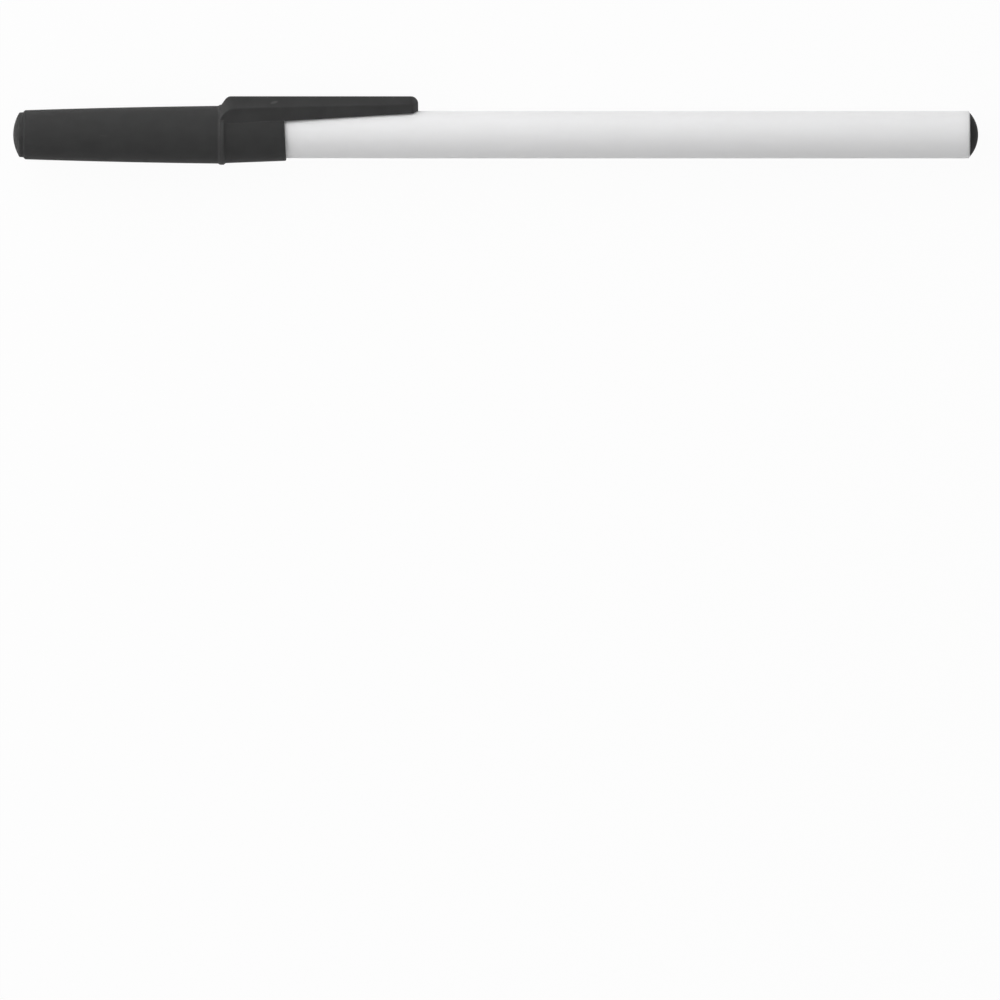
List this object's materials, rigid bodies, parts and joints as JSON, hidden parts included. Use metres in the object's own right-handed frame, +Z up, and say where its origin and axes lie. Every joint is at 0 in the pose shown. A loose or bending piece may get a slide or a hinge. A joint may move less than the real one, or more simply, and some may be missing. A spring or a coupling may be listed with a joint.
{
  "type": "stick ballpoint pen",
  "caption": "Stick ballpoint pen with a straight round barrel, a domed end plug and a pull-off cap with a springy pocket clip, over a brass ball point fed from an ink tube.",
  "frame": {"origin": "on the surface that the pen lies on, straight below the middle of the pen's axis", "axes": "+X along the pen from the cap's closed end to the end plug, +Y towards the side that the clip is on, +Z up"},
  "size_m": [0.149, 0.0105, 0.0093],
  "materials": {
    "white_barrel": "smooth moulded, satin",
    "black_cap": "fine moulded texture, satin",
    "black_trim": "smooth moulded, satin",
    "brass": "turned",
    "bright_ball": "polished",
    "clear_tube": "translucent",
    "ink_paste": "wet"
  },
  "bodies": {
    "pen": {"barrel": "white_barrel", "end_plug": "black_trim", "nose_cone": "black_trim", "brass_point": "brass", "ink_tube": "clear_tube", "ink": "ink_paste"},
    "ball": {"writing_ball": "bright_ball"},
    "cap": {"cap_shell": "black_cap", "cap_plug": "black_trim"},
    "clip": {"clip": "black_cap"}
  },
  "joints": [
    {"name": "cap_pull", "type": "slide", "parent": "pen", "child": "cap", "axis": [-1, 0, 0], "range_m": [0, 0.06]},
    {"name": "clip_flex", "type": "hinge", "parent": "cap", "child": "clip", "pos_m": [-0.03276, 0.00594, 0.00465], "axis": [0, 0, 1], "range_deg": [0, 5], "stiffness_Nm_per_rad": 0.9},
    {"name": "ball_roll", "type": "hinge", "parent": "pen", "child": "ball", "pos_m": [-0.06355, 0, 0.00465], "axis": [0, 1, 0], "continuous": true}
  ]
}
